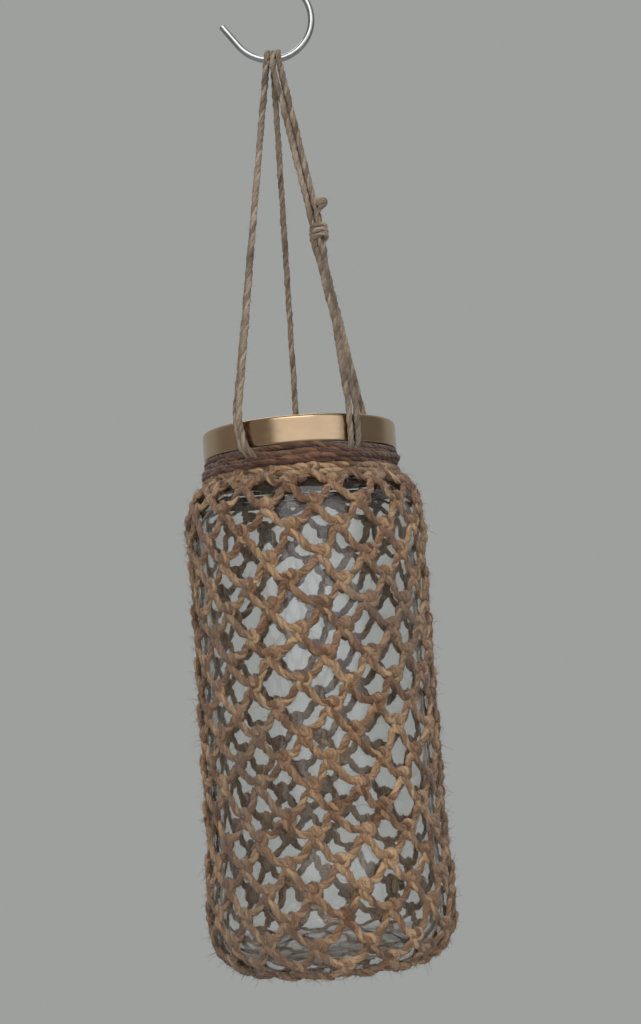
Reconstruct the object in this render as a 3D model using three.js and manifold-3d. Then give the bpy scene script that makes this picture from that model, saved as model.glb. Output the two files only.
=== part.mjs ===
// Mason jar lantern: a glass jar with a gold twist-off lid, in a knotted jute net, hung by jute cords from
// an S-hook. Millimetres, +Z up. The origin is the inside top of the hook's upper loop, which the lantern
// hangs from. The lantern group's own zero is the top of the lid. Azimuth 0 is the front (-Y) and 90 is the
// right (+X).
import * as THREE from "three";
import { mergeVertices } from "three/addons/utils/BufferGeometryUtils.js";
import Module from "manifold-3d";

const wasm = await Module();
wasm.setup();

// Driving dimensions
const GAP = 0.3; // clearance between touching pieces
const SIDES = 32; // facets round the jar, the lid and the rings

const HOOK_WIRE = 2.6; // diameter
const HOOK_RADIUS = 16.1; // wire centreline of both loops
const HOOK_CENTRES = 37; // between the two loop centres
const HOOK_ARM = 10.2; // straight end of each loop
const HOOK_OPEN_DEG = 54; // where the lower loop turns straight, from its lowest point

const CORD = 1.9; // cord of the winding, the heading and the drawstring
const HANGING_CORD = 2.2;
const CORD_SIDES = 8;
const STRAND_STEP = 3 * HANGING_CORD;
const DROP = 146.2; // hook wire centreline to the lid's top
const BIGHT_LEG = 4; // how far a bight's ends hang below the wire centreline
const BIGHT_PITCH = 2.7; // along the wire
const SWING_GAP = 1.5; // room for the strands to swing under the bights
const LID_EDGE_RADIUS = 38.6; // strand centreline where it passes the lid's rim
const TUCK = { radius: 37.85, z: -12.4 }; // where a strand dives under the neck winding

const LID_RADIUS = 36.65;
const LID_HEIGHT = 10.3;
const LID_SHEET = 0.5;
const PANEL_DROP = 0.8; // centre panel below the rim
const PANEL_RADIUS = 29.6;
const BUTTON = { top: 11, foot: 12.5, height: 0.3 }; // raised middle of the panel
const LUGS = 6;
const LUG_DEG = 8;
const LUG_TOP = -8.15;
const LUG_INNER = 33.75;

const RIM_TOP = -2; // glass sealing rim
const FINISH_RADIUS = 33.3;
const BORE_RADIUS = 30.6;
const THREAD_CREST = 34.6;
const THREAD_START_Z = -7;
const THREAD_RISE_PER_DEG = 0.0402;
const THREAD_DEG = [-5, 42];
const NECK_RADIUS = 34.2;
const NECK_BOTTOM = -19.6;

const SHOULDER_RADIUS = 42.8;
const SHOULDER_Z = -38;
const PANEL_WALL_RADIUS = 42.2; // the slightly waisted wall between shoulder and heel
const PANEL_WALL_Z = [-52, -152];
const HEEL_RADIUS = 43.5;
const HEEL_Z = -168;
const HEEL_TURN_Z = -181;
const FOOT_RADIUS = 31;
const BASE_Z = -196.5;
const PUSH_UP = 3;
const WALL = 2.6;
const FLOOR_Z = -193.6; // inside floor at its edge
const FLOOR_RISE = 2.4; // to the middle of the floor

const WRAP_TURNS = 4;
const WRAP_PITCH = 2;
const WRAP_TOP = -LID_HEIGHT - 0.4;
const HEADING_Z = WRAP_TOP - WRAP_TURNS * WRAP_PITCH - 1.2;
const NET_TOP = HEADING_Z - CORD / 2 - GAP;
const NET_THICK = 2.4;
const NET_HOLE_RADIUS = 9.5;
const DRAWSTRING_RADIUS = 7;
const KNOT = { width: 6, height: 6 };
const RIGHT_STARTS = [[1, -1], [1, 1], [0, -1]]; // bight and side of the wire where its three strands begin
const KNOT_ABOVE = [[1.3, -0.6], [-0.1, 1.4], [-1.2, -0.8]]; // where they go into the knot, seen from above
const KNOT_BELOW = [[-1.7, -0.9], [0.7, -0.9], [1.5, 1.4]]; // and where they come out
const BASE_KNOT = { azimuth: 215, width: 3.8, height: 2.6 };

// Derived places, in the object's frame
const upperLoopZ = -(HOOK_RADIUS - HOOK_WIRE / 2);
const lowerLoopZ = upperLoopZ - HOOK_CENTRES;
const wireZ = lowerLoopZ - HOOK_RADIUS;
const lidTopZ = wireZ - DROP;
const bightRadius = HOOK_WIRE / 2 + GAP + HANGING_CORD / 2;

const rad = THREE.MathUtils.degToRad;

// Azimuth in degrees, radius and height to a point of the lantern group.
const polar = (azimuth, radius, z) =>
  new THREE.Vector3(radius * Math.sin(rad(azimuth)), -radius * Math.cos(rad(azimuth)), z);

// Materials
const finish = (color, roughness, metalness) =>
  new THREE.MeshStandardMaterial({ color, roughness, metalness });
const steel = finish(0xc9ccce, 0.18, 1);
const gold = finish(0xc9ab66, 0.3, 0.9);
const compound = finish(0xd8d6cd, 0.6, 0);
const glass = finish(0xdfe9e6, 0.04, 0);
glass.transparent = true;
glass.opacity = 0.35;
const netJute = finish(0xa8794c, 0.92, 0);
const cordJute = finish(0x8f7a5c, 0.92, 0);
const wrapJute = finish(0x7b5237, 0.94, 0);

// A closed ring or a solid of revolution about Z. Its outline runs anticlockwise in (radius, height).
function revolve(outline, sides = SIDES) {
  return new THREE.LatheGeometry(outline, sides).rotateX(Math.PI / 2);
}

// A round cord or wire along a curve, with flat ends.
function tube(curve, diameter, sides, steps) {
  const section = new THREE.Shape();
  for (let i = 0; i < sides; i++) {
    const a = (2 * Math.PI * i) / sides;
    const corner = [(diameter / 2) * Math.cos(a), (diameter / 2) * Math.sin(a)];
    if (i === 0) section.moveTo(...corner);
    else section.lineTo(...corner);
  }
  section.closePath();
  return new THREE.ExtrudeGeometry(section, { steps, bevelEnabled: false, extrudePath: curve });
}

// three.js geometry to a manifold solid, and back.
function solid(geometry) {
  const bare = geometry.index ? geometry.toNonIndexed() : geometry.clone();
  bare.deleteAttribute("normal");
  bare.deleteAttribute("uv");
  const merged = mergeVertices(bare, 1e-4);
  return new wasm.Manifold(
    new wasm.Mesh({
      numProp: 3,
      vertProperties: merged.attributes.position.array,
      triVerts: new Uint32Array(merged.index.array),
    }),
  );
}

function geometryOf(manifold) {
  const mesh = manifold.getMesh();
  const geometry = new THREE.BufferGeometry();
  geometry.setAttribute("position", new THREE.BufferAttribute(mesh.vertProperties, 3));
  geometry.setIndex(new THREE.BufferAttribute(mesh.triVerts, 1));
  geometry.computeVertexNormals();
  return geometry;
}

const join = (base, additions) =>
  geometryOf(additions.reduce((whole, extra) => whole.add(solid(extra)), solid(base)));

function piece(name, geometry, material) {
  const mesh = new THREE.Mesh(geometry, material.clone());
  mesh.name = name;
  return mesh;
}

// The S-hook's centreline in the XZ plane: arm, lower loop, diagonal, upper loop, arm. Its upper half is its
// lower half turned half way round.
function hookPath() {
  const cross = Math.asin((2 * HOOK_RADIUS) / HOOK_CENTRES);
  const start = -Math.PI / 2 - rad(HOOK_OPEN_DEG);
  const lower = [];
  const at = (angle, radius) => [radius * Math.cos(angle), radius * Math.sin(angle)];
  const [sx, sz] = at(start, HOOK_RADIUS);
  lower.push([sx + HOOK_ARM * Math.sin(start), sz - HOOK_ARM * Math.cos(start)]);
  lower.push([sx + (HOOK_ARM / 2) * Math.sin(start), sz - (HOOK_ARM / 2) * Math.cos(start)]);
  const turns = 22;
  for (let i = 0; i <= turns; i++) lower.push(at(start + ((cross - start) * i) / turns, HOOK_RADIUS));
  const upper = lower.map(([x, z]) => [-x, HOOK_CENTRES - z]).reverse();
  const points = [...lower, ...upper].map(([x, z]) => new THREE.Vector3(x, 0, z + lowerLoopZ));
  return new THREE.CatmullRomCurve3(points, false, "centripetal");
}

// One turn of the cord over the hook wire, with both ends hanging, in a plane through the loop's centre.
function bight(index) {
  const leg = (side, share) => new THREE.Vector3(0, side * bightRadius, -BIGHT_LEG * share);
  const points = [leg(-1, 1), leg(-1, 0.5)];
  for (let i = 0; i <= 8; i++) {
    const a = Math.PI - (Math.PI * i) / 8;
    points.push(new THREE.Vector3(0, bightRadius * Math.cos(a), bightRadius * Math.sin(a)));
  }
  points.push(leg(1, 0.5), leg(1, 1));
  const curve = new THREE.CatmullRomCurve3(points, false, "centripetal");
  const geometry = tube(curve, HANGING_CORD, CORD_SIDES, 14);
  geometry.translate(0, 0, -HOOK_RADIUS);
  geometry.rotateY(-(index * BIGHT_PITCH) / HOOK_RADIUS);
  return geometry.translate(0, 0, lowerLoopZ);
}

// The place under a bight where a strand begins, in the lantern group. side is -1 in front of the wire and
// 1 behind it.
function underBight(index, side) {
  const angle = (index * BIGHT_PITCH) / HOOK_RADIUS;
  const reach = HOOK_RADIUS + BIGHT_LEG + SWING_GAP;
  return new THREE.Vector3(
    reach * Math.sin(angle),
    side * bightRadius,
    DROP + HOOK_RADIUS - reach * Math.cos(angle),
  );
}

// The last stretch of a strand: past the lid's rim, down its skirt, to the tuck under the winding.
const downTheSkirt = (azimuth) => [
  polar(azimuth, LID_EDGE_RADIUS, 0),
  polar(azimuth, LID_EDGE_RADIUS - 0.1, -LID_HEIGHT / 2),
  polar(azimuth, TUCK.radius, TUCK.z),
];

function strand(points) {
  const filled = [];
  points.slice(1).forEach((end, i) => {
    const start = points[i];
    const pieces = Math.max(1, Math.round(start.distanceTo(end) / 12));
    for (let k = 0; k < pieces; k++) filled.push(start.clone().lerp(end, k / pieces));
  });
  filled.push(points.at(-1));
  const curve = new THREE.CatmullRomCurve3(filled, false, "centripetal");
  return tube(curve, HANGING_CORD, CORD_SIDES, Math.ceil(curve.getLength() / STRAND_STEP));
}

// Outline of a solid of revolution from a path drawn with three.js path calls.
function outline(draw, divisions = 4) {
  const path = new THREE.Path();
  draw(path);
  return path.getPoints(divisions);
}

// The glass's outer side from the foot up to the neck, as drawn on a path that is already at the foot.
function glassSide(path) {
  path.bezierCurveTo(FOOT_RADIUS + 6.5, BASE_Z, HEEL_RADIUS, BASE_Z + 6.5, HEEL_RADIUS, HEEL_TURN_Z);
  path.lineTo(HEEL_RADIUS, HEEL_Z);
  path.lineTo(PANEL_WALL_RADIUS, PANEL_WALL_Z[1]);
  path.lineTo(PANEL_WALL_RADIUS, PANEL_WALL_Z[0]);
  path.lineTo(SHOULDER_RADIUS, SHOULDER_Z - 6);
  path.lineTo(SHOULDER_RADIUS, SHOULDER_Z);
  path.bezierCurveTo(SHOULDER_RADIUS, SHOULDER_Z + 10, 39, NECK_BOTTOM - 2.6,
    NECK_RADIUS + 1, NECK_BOTTOM - 1.8);
}

function jarOutline() {
  return outline((path) => {
    path.moveTo(0, BASE_Z + PUSH_UP);
    path.quadraticCurveTo(FOOT_RADIUS - 10, BASE_Z + PUSH_UP, FOOT_RADIUS - 3, BASE_Z);
    path.lineTo(FOOT_RADIUS, BASE_Z);
    glassSide(path);
    path.quadraticCurveTo(NECK_RADIUS, NECK_BOTTOM - 1.4, NECK_RADIUS, NECK_BOTTOM);
    path.lineTo(NECK_RADIUS, -LID_HEIGHT - 0.6);
    path.lineTo(FINISH_RADIUS, -LID_HEIGHT + 0.3);
    path.lineTo(FINISH_RADIUS, RIM_TOP - 1);
    path.quadraticCurveTo(FINISH_RADIUS, RIM_TOP, FINISH_RADIUS - 1, RIM_TOP);
    path.lineTo(BORE_RADIUS + 0.8, RIM_TOP);
    path.lineTo(BORE_RADIUS, RIM_TOP - 0.8);
    path.lineTo(BORE_RADIUS, NECK_BOTTOM);
    path.bezierCurveTo(BORE_RADIUS, NECK_BOTTOM - 6, SHOULDER_RADIUS - WALL, SHOULDER_Z + 8,
      SHOULDER_RADIUS - WALL, SHOULDER_Z - 2);
    path.lineTo(PANEL_WALL_RADIUS - WALL, PANEL_WALL_Z[0]);
    path.lineTo(PANEL_WALL_RADIUS - WALL, HEEL_TURN_Z + 3);
    path.bezierCurveTo(PANEL_WALL_RADIUS - WALL, FLOOR_Z + 4, FOOT_RADIUS + 5, FLOOR_Z,
      FOOT_RADIUS - 2, FLOOR_Z);
    path.quadraticCurveTo(FOOT_RADIUS / 2, FLOOR_Z + FLOOR_RISE, 0, FLOOR_Z + FLOOR_RISE);
  });
}

// One of the finish's slanting ridges, which a lug of the lid slides under.
function threadRidge(azimuth) {
  const points = [];
  const middle = (FINISH_RADIUS - 0.4 + THREAD_CREST) / 2;
  for (let i = 0; i <= 6; i++) {
    const turn = THREAD_DEG[0] + ((THREAD_DEG[1] - THREAD_DEG[0]) * i) / 6;
    points.push(polar(azimuth + turn, middle, THREAD_START_Z + THREAD_RISE_PER_DEG * turn));
  }
  return tube(new THREE.CatmullRomCurve3(points), THREAD_CREST - FINISH_RADIUS + 0.4, 6, 8);
}

// The lid is one pressed sheet: recessed centre panel with a button, raised rim, skirt, and a curl at the
// bottom edge.
function lidOutline() {
  const inner = LID_RADIUS - LID_SHEET;
  return outline((path) => {
    path.moveTo(0, -PANEL_DROP - LID_SHEET + BUTTON.height);
    path.lineTo(BUTTON.top, -PANEL_DROP - LID_SHEET + BUTTON.height);
    path.lineTo(BUTTON.foot, -PANEL_DROP - LID_SHEET);
    path.lineTo(PANEL_RADIUS, -PANEL_DROP - LID_SHEET);
    path.lineTo(PANEL_RADIUS + 1.6, -LID_SHEET);
    path.lineTo(inner - 1, -LID_SHEET);
    path.quadraticCurveTo(inner, -LID_SHEET, inner, -LID_SHEET - 1);
    path.lineTo(inner, -LID_HEIGHT + 1.6);
    path.quadraticCurveTo(inner - 1, -LID_HEIGHT + 1.2, inner - 1, -LID_HEIGHT + 0.6);
    path.quadraticCurveTo(inner - 0.8, -LID_HEIGHT, inner - 0.1, -LID_HEIGHT);
    path.quadraticCurveTo(LID_RADIUS, -LID_HEIGHT, LID_RADIUS, -LID_HEIGHT + 0.8);
    path.lineTo(LID_RADIUS, -1.5);
    path.quadraticCurveTo(LID_RADIUS, 0, LID_RADIUS - 1.5, 0);
    path.lineTo(PANEL_RADIUS + 2, 0);
    path.lineTo(PANEL_RADIUS, -PANEL_DROP);
    path.lineTo(BUTTON.foot, -PANEL_DROP);
    path.lineTo(BUTTON.top, -PANEL_DROP + BUTTON.height);
    path.lineTo(0, -PANEL_DROP + BUTTON.height);
  }, 3);
}

// A lug is a short tab pressed inwards from the curl.
function lug(azimuth) {
  const outer = LID_RADIUS - LID_SHEET / 2;
  const width = 2 * LUG_INNER * Math.tan(rad(LUG_DEG / 2));
  const height = LUG_TOP + LID_HEIGHT - 0.5;
  const tab = new THREE.BoxGeometry(width, outer - LUG_INNER, height);
  tab.translate(0, -(outer + LUG_INNER) / 2, LUG_TOP - height / 2);
  return tab.rotateZ(rad(azimuth));
}

const aroundTheNeck = (make) => Array.from({ length: LUGS }, (_, i) => make((360 / LUGS) * i));

function linerOutline() {
  const outer = LID_RADIUS - LID_SHEET - 1;
  return outline((path) => {
    path.moveTo(BORE_RADIUS + 1, RIM_TOP + GAP);
    path.lineTo(outer, RIM_TOP + GAP);
    path.lineTo(outer, -LID_SHEET - GAP);
    path.lineTo(PANEL_RADIUS + 2.6, -LID_SHEET - GAP);
    path.lineTo(BORE_RADIUS + 1, RIM_TOP + 2 * GAP + 0.1);
    path.closePath();
  });
}

// Turns of cord lying on the neck, as one ring with a rounded rib for each turn.
function wrapOutline() {
  const inner = NECK_RADIUS + GAP;
  return outline((path) => {
    path.moveTo(inner, WRAP_TOP);
    path.lineTo(inner, WRAP_TOP - WRAP_TURNS * WRAP_PITCH);
    for (let turn = WRAP_TURNS - 1; turn >= 0; turn--) {
      const top = WRAP_TOP - turn * WRAP_PITCH;
      path.lineTo(inner + CORD * 0.55, top - WRAP_PITCH + 0.15);
      path.lineTo(inner + CORD, top - WRAP_PITCH * 0.7);
      path.lineTo(inner + CORD, top - WRAP_PITCH * 0.3);
      path.lineTo(inner + CORD * 0.55, top - 0.15);
    }
    path.closePath();
  });
}

// A ring of cord about Z.
function cordRing(radius, z) {
  return revolve(outline((path) => path.absarc(radius, z, CORD / 2, 0, 2 * Math.PI), CORD_SIDES / 2));
}

// A profile moved sideways by a distance, to the right of its direction of travel.
function offset(points, distance) {
  return points.map((point, i) => {
    const before = points[Math.max(0, i - 1)];
    const after = points[Math.min(points.length - 1, i + 1)];
    const along = after.clone().sub(before).normalize();
    return new THREE.Vector2(point.x + along.y * distance, point.y - along.x * distance);
  });
}

// The space that the knotted net fills: a thin sleeve from the heading cord down the wall and round the heel.
function netOutline() {
  const side = outline((path) => {
    path.moveTo(FOOT_RADIUS, BASE_Z);
    glassSide(path);
  });
  const belowHeading = (point) => point.y < NET_TOP;
  const inside = offset(side, GAP).filter(belowHeading);
  const outside = offset(side, GAP + NET_THICK).filter(belowHeading);
  return [...outside, ...inside.reverse(), outside[0]];
}

// The net's closing rows under the base, drawn together by the drawstring.
function netBaseOutline() {
  const top = BASE_Z - GAP;
  return outline((path) => {
    path.moveTo(NET_HOLE_RADIUS, top - NET_THICK);
    path.lineTo(FOOT_RADIUS - GAP, top - NET_THICK);
    path.lineTo(FOOT_RADIUS - GAP, top);
    path.lineTo(NET_HOLE_RADIUS, top);
    path.closePath();
  });
}

// Half-way down the right-hand bundle, where its three strands are knotted together.
const rightAnchors = [30.4, 34.2, 135];
const knotPlace = new THREE.Vector3(0, 0, DROP / 2);
rightAnchors.forEach((azimuth) => knotPlace.addScaledVector(polar(azimuth, LID_EDGE_RADIUS, 0), 1 / 6));

// Where a strand meets the knot. end is 1 above it and -1 below it.
function atKnot([x, y], end) {
  return knotPlace.clone().add(new THREE.Vector3(x, y, end * (KNOT.height / 2 + GAP)));
}

// An end of the cord that sticks out of the knot, from its side.
function knotTail(azimuth, length, rise) {
  const out = polar(azimuth, 1, 0);
  const start = knotPlace.clone().addScaledVector(out, KNOT.width / 2 + 2 * GAP);
  const bend = start.clone().addScaledVector(out, 1.6).add(new THREE.Vector3(0, 0, rise * 0.1));
  const end = start.clone().addScaledVector(out, 2.6).add(new THREE.Vector3(0, 0, rise));
  const curve = new THREE.CatmullRomCurve3([start, bend, end], false, "centripetal");
  return tube(curve, HANGING_CORD, CORD_SIDES, Math.ceil(length / HANGING_CORD));
}

const lump = (width, height) => new THREE.IcosahedronGeometry(0.5, 2).scale(width, width, height);

// The drawstring is a ring of cord with a gap where its knot sits.
const drawstringZ = BASE_Z - GAP - CORD / 2;
const baseKnotPlace = polar(BASE_KNOT.azimuth, DRAWSTRING_RADIUS, drawstringZ);

function drawstring() {
  const gapDeg = 22;
  const points = [];
  for (let i = 0; i <= 20; i++) {
    const azimuth = BASE_KNOT.azimuth + gapDeg + ((360 - 2 * gapDeg) * i) / 20;
    points.push(polar(azimuth, DRAWSTRING_RADIUS, drawstringZ));
  }
  return tube(new THREE.CatmullRomCurve3(points), CORD, CORD_SIDES, 20);
}

// Assembly
const lantern = new THREE.Group();
lantern.position.z = lidTopZ;

lantern.add(
  piece("glass_jar", join(revolve(jarOutline()), aroundTheNeck(threadRidge)), glass),
  piece("lid_liner", revolve(linerOutline()), compound),
  piece("lid_shell", join(revolve(lidOutline()), aroundTheNeck(lug)), gold),
  piece("neck_wrap", revolve(wrapOutline()), wrapJute),
  piece("heading_cord", cordRing(NECK_RADIUS + GAP + CORD / 2, HEADING_Z), wrapJute),
  piece("jute_net", revolve(netOutline()), netJute),
  piece("net_base", revolve(netBaseOutline()), netJute),
  piece("base_drawstring", drawstring(), netJute),
  piece("base_knot", lump(BASE_KNOT.width, BASE_KNOT.height).translate(...baseKnotPlace), netJute),
  piece("hanger_left_outer", strand([underBight(-1, 1), ...downTheSkirt(-34.8)]), cordJute),
  piece("hanger_left_inner", strand([underBight(-1, -1), ...downTheSkirt(-31)]), cordJute),
  piece("hanger_back", strand([underBight(0, 1), ...downTheSkirt(180)]), cordJute),
  piece("hanger_knot", lump(KNOT.width, KNOT.height).translate(...knotPlace), cordJute),
  piece("knot_tail_1", knotTail(75, 11, 10), cordJute),
  piece("knot_tail_2", knotTail(-20, 7, -5), cordJute),
);

rightAnchors.forEach((azimuth, i) => {
  const upper = strand([underBight(...RIGHT_STARTS[i]), atKnot(KNOT_ABOVE[i], 1)]);
  const lower = strand([atKnot(KNOT_BELOW[i], -1), ...downTheSkirt(azimuth)]);
  lantern.add(piece("hanger_right_upper_" + (i + 1), upper, cordJute));
  lantern.add(piece("hanger_right_lower_" + (i + 1), lower, cordJute));
});

const object = new THREE.Group();
object.add(piece("s_hook", tube(hookPath(), HOOK_WIRE, 10, 60), steel), lantern);
[-1, 0, 1].forEach((index) => object.add(piece("bight_" + (index + 2), bight(index), cordJute)));

export default object;
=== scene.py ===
"""Mason jar lantern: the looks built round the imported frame.

A glass jar with a gold twist-off lid wears a knotted jute net and hangs by jute cords from a steel S-hook.
Shapes are worked out in millimetres in the frame's own axes and turned to metres when a mesh is made.
"""

import math

import bpy
import numpy as np
from mathutils import Matrix, Vector


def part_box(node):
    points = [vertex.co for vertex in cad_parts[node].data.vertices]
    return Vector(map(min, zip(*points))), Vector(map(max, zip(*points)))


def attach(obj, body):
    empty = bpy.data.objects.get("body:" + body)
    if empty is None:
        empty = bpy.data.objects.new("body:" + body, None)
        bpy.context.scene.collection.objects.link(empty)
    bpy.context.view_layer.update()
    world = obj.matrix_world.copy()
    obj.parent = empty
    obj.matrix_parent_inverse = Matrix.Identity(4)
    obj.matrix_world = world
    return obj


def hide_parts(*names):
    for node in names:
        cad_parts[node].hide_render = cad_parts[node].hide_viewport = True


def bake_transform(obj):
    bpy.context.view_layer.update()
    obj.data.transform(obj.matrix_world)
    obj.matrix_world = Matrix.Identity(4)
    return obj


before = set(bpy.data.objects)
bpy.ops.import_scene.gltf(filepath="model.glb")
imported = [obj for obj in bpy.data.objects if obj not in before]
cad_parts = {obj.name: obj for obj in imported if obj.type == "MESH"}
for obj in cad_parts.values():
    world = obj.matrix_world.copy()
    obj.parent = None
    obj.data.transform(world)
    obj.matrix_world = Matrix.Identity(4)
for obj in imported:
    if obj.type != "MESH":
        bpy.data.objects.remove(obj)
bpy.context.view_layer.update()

MM = 0.001
SEED = 7

# Places from the frame, in millimetres
lid_low, lid_high = (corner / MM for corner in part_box("lid_shell"))
LID_TOP = lid_high.z
LID_RADIUS = (lid_high.x - lid_low.x) / 2
LID_HEIGHT = lid_high.z - lid_low.z
jar_low, _ = (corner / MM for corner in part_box("glass_jar"))
BASE = jar_low.z - LID_TOP
hook_low, hook_high = (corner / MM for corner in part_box("s_hook"))
WIRE = hook_high.y - hook_low.y

# The hook, repeated from the part's source
HOOK_RADIUS = 16.1
HOOK_CENTRES = 37.0
HOOK_ARM = 10.2
HOOK_OPEN = math.radians(54)
LOWER_LOOP = -(HOOK_RADIUS - WIRE / 2) - HOOK_CENTRES
WIRE_Z = LOWER_LOOP - HOOK_RADIUS
DROP = WIRE_Z - LID_TOP

# Cords. An anchor is the azimuth in degrees at which a strand passes the lid's rim
CORD = 2.2
BIGHT_PITCH = 2.35  # along the wire
BIGHT_LEG = 4.0
BIGHT_RADIUS = WIRE / 2 + CORD / 2 + 0.3
RIM_PASS = 38.05
LEFT_ANCHORS = (-35.2, -32.0)
BACK_ANCHOR = 181.6
RIGHT_ANCHORS = (29.8, 34.6, 135.0)
LEFT_LEAN = 7.0


def polar(azimuth, radius, z):
    """A point at an azimuth in degrees (0 in front, 90 on the right), a radius and a height over the lid."""
    a = np.radians(azimuth)
    height = LID_TOP + np.asarray(z, float)
    return np.stack(np.broadcast_arrays(radius * np.sin(a), -radius * np.cos(a), height), -1)


# ---------------- camera

CAMERA_LENS = 58.37168  # on a sensor 36 mm wide
CAMERA_SIDE, CAMERA_BACK, CAMERA_BELOW_LID = 6.1, 624.0, 100.3
CAMERA_PITCH, CAMERA_ROLL = math.radians(6.257), math.radians(-4.057)


def make_camera():
    data = bpy.data.cameras.new("camera")
    data.lens, data.sensor_width = CAMERA_LENS, 36
    data.clip_start, data.clip_end = 0.02, 50
    camera = bpy.data.objects.new("camera", data)
    bpy.context.scene.collection.objects.link(camera)
    place = Matrix.Translation(Vector((CAMERA_SIDE, -CAMERA_BACK, LID_TOP - CAMERA_BELOW_LID)) * MM)
    look = Matrix.Rotation(math.radians(90) + CAMERA_PITCH, 4, "X")
    camera.matrix_world = place @ look @ Matrix.Rotation(CAMERA_ROLL, 4, "Z")
    bpy.context.scene.camera = camera


make_camera()

# ---------------- mesh making


def new_mesh(name, points, faces, attributes=None, smooth=True):
    """A mesh object from points in millimetres and a list of arrays of faces, with a row for each face."""
    mesh = bpy.data.meshes.new(name)
    corners = np.concatenate([group.ravel() for group in faces]).astype(np.int32)
    sizes = np.concatenate([np.full(len(group), group.shape[1], np.int32) for group in faces])
    mesh.vertices.add(len(points))
    mesh.vertices.foreach_set("co", (np.asarray(points, np.float64) * MM).astype(np.float32).ravel())
    mesh.loops.add(len(corners))
    mesh.loops.foreach_set("vertex_index", corners)
    mesh.polygons.add(len(sizes))
    mesh.polygons.foreach_set("loop_start", np.concatenate([[0], np.cumsum(sizes)[:-1]]).astype(np.int32))
    mesh.update(calc_edges=True)
    mesh.validate()
    mesh.polygons.foreach_set("use_smooth", np.full(len(mesh.polygons), smooth))
    for key, values in (attributes or {}).items():
        kind, field = ("FLOAT_VECTOR", "vector") if values.ndim == 2 else ("FLOAT", "value")
        mesh.attributes.new(key, kind, "POINT").data.foreach_set(field, values.astype(np.float32).ravel())
    piece = bpy.data.objects.new(name, mesh)
    bpy.context.scene.collection.objects.link(piece)
    return piece


def joined(parts):
    """Several (points, face groups, attributes) as one."""
    points, faces, attributes, base = [], [], {}, 0
    for part_points, part_faces, part_attributes in parts:
        points.append(part_points)
        faces += [group + base for group in part_faces]
        for key, values in part_attributes.items():
            attributes.setdefault(key, []).append(values)
        base += len(part_points)
    return np.concatenate(points), faces, {k: np.concatenate(v) for k, v in attributes.items()}


def ring_faces(rows, sides):
    """The quads between rings of points that follow one another, and a cap on each end."""
    index = np.arange(rows * sides).reshape(rows, sides)
    after = np.roll(index, -1, 1)
    quads = np.stack([index[:-1], after[:-1], after[1:], index[1:]], -1).reshape(-1, 4)
    return [quads, index[0][::-1][None, :], index[-1][None, :]]


def distances(line):
    """How far along the line each of its points is."""
    return np.concatenate([[0], np.cumsum(np.linalg.norm(np.diff(line, axis=0), axis=1))])


def length_of(line):
    return float(np.linalg.norm(np.diff(line, axis=0), axis=1).sum())


def smooth_path(points, step):
    """A centripetal Catmull-Rom line through points, sampled every step millimetres."""
    points = np.asarray(points, float)
    points = np.concatenate([2 * points[:1] - points[1:2], points, 2 * points[-1:] - points[-2:-1]])
    knots = np.sqrt(np.maximum(np.linalg.norm(np.diff(points, axis=0), axis=1), 1e-9))
    t = np.concatenate([[0], np.cumsum(knots)])[:, None]
    fine = []
    p0, p1, p2, p3 = points[:-3], points[1:-2], points[2:-1], points[3:]
    a, b, c, d = t[:-3], t[1:-2], t[2:-1], t[3:]
    for f in np.linspace(0, 1, 13)[:-1]:
        u = b + (c - b) * f
        a1 = (b - u) / (b - a) * p0 + (u - a) / (b - a) * p1
        a2 = (c - u) / (c - b) * p1 + (u - b) / (c - b) * p2
        a3 = (d - u) / (d - c) * p2 + (u - c) / (d - c) * p3
        b1 = (c - u) / (c - a) * a1 + (u - a) / (c - a) * a2
        b2 = (d - u) / (d - b) * a2 + (u - b) / (d - b) * a3
        fine.append((c - u) / (c - b) * b1 + (u - b) / (c - b) * b2)
    dense = np.concatenate([np.stack(fine, 1).reshape(-1, 3), points[-2:-1]])
    return even(dense, step)


def smooth_step(x):
    x = np.clip(x, 0, 1)
    return x * x * (3 - 2 * x)


def even(points, step):
    """The same line sampled at even steps."""
    s = distances(points)
    count = max(2, int(round(s[-1] / step)) + 1)
    at = np.linspace(0, s[-1], count)
    return np.stack([np.interp(at, s, column) for column in points.T], 1)


def frames(line):
    """Unit tangent and two normals along a line, carried along it without twist."""
    tangent = np.gradient(line, axis=0)
    tangent /= np.linalg.norm(tangent, axis=1)[:, None]
    normal = np.empty_like(tangent)
    first = np.cross(tangent[0], [0.31, 0.17, 0.93])  # a direction that no line here starts in
    normal[0] = first / np.linalg.norm(first)
    for i in range(1, len(line)):
        n = normal[i - 1] - tangent[i] * (normal[i - 1] @ tangent[i])
        normal[i] = n / math.sqrt(n @ n)
    return tangent, normal, np.cross(tangent, normal)


PLY_SHARE = 0.335  # of the twine's diameter: its plies' radius
PLY_WANDER, WANDER_STEP = 0.12, 4.0
PLY_RIDGES = 0.13
PLY_TURN = 1.6  # turns of a ply's own section for each turn round the others
TONE_STEP = 14.0


def across(turns, normal, binormal):
    """Directions at angles from the first of two normals towards the second."""
    return np.cos(turns)[..., None] * normal + np.sin(turns)[..., None] * binormal


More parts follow.
